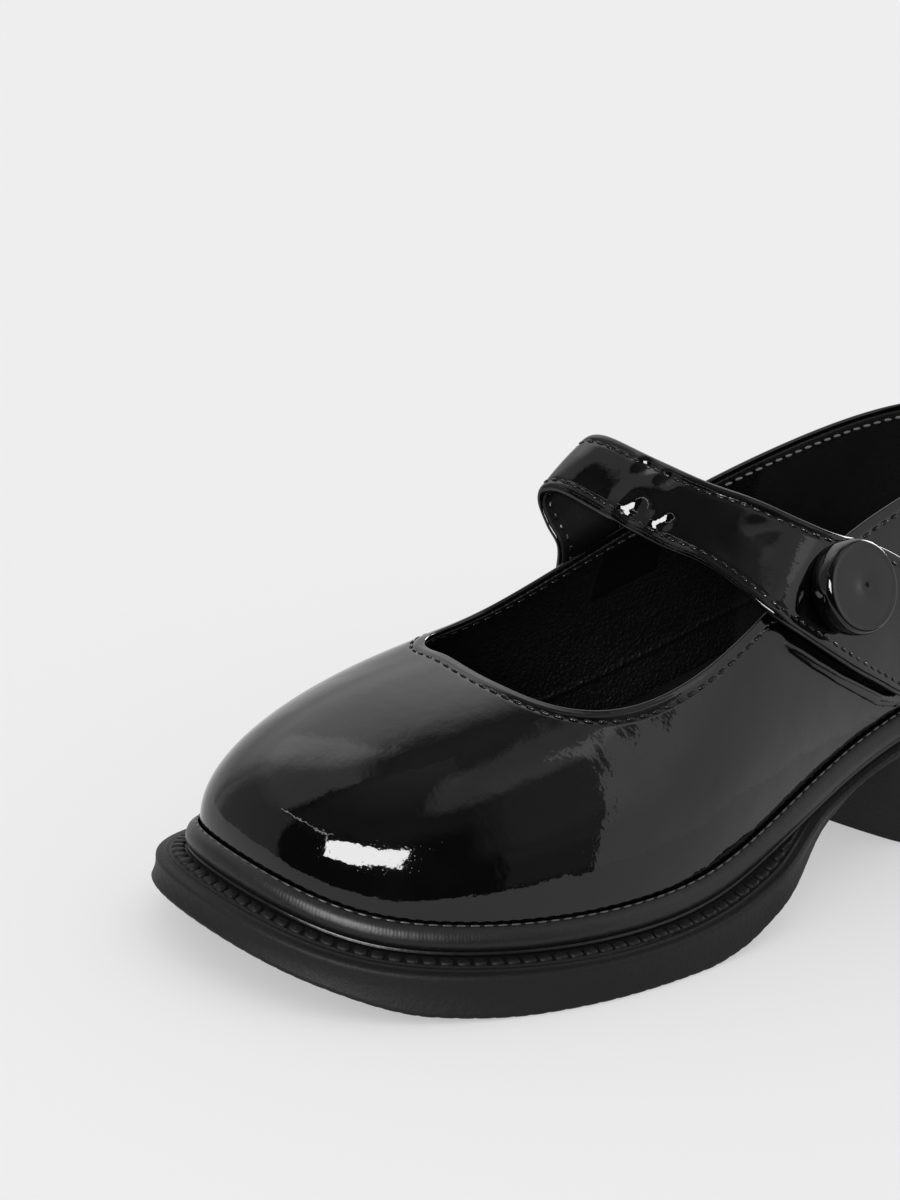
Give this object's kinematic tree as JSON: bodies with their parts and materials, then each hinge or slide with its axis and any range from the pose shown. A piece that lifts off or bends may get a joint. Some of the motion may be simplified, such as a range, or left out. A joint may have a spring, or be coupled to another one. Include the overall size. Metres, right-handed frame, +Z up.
{
  "type": "mary jane shoe",
  "caption": "Left round-toe patent mary jane with a low block heel, a moulded rubber sole with a bead and a cogged shelf, and an instep strap fastened by a large covered button.",
  "frame": {"origin": "on the ground, centred on the footprint of the whole shoe", "axes": "+Y towards the heel, -Y towards the toe, +Z up, +X the outer (button) side of this left shoe"},
  "size_m": [0.1112, 0.2508, 0.1014],
  "materials": {
    "patent": "black patent, mirror gloss with soft waves",
    "lining": "black fine-grain lining leather, low sheen",
    "thread": "waxed black sewing thread",
    "bead": "moulded black rubber bead, semi-gloss",
    "rubber": "moulded black rubber, dull, faintly rough"
  },
  "bodies": {
    "root": {"upper": "patent", "strap": "patent", "button": "patent", "insole": "lining", "rand": "bead", "outsole": "rubber", "heel": "rubber"}
  },
  "joints": []
}
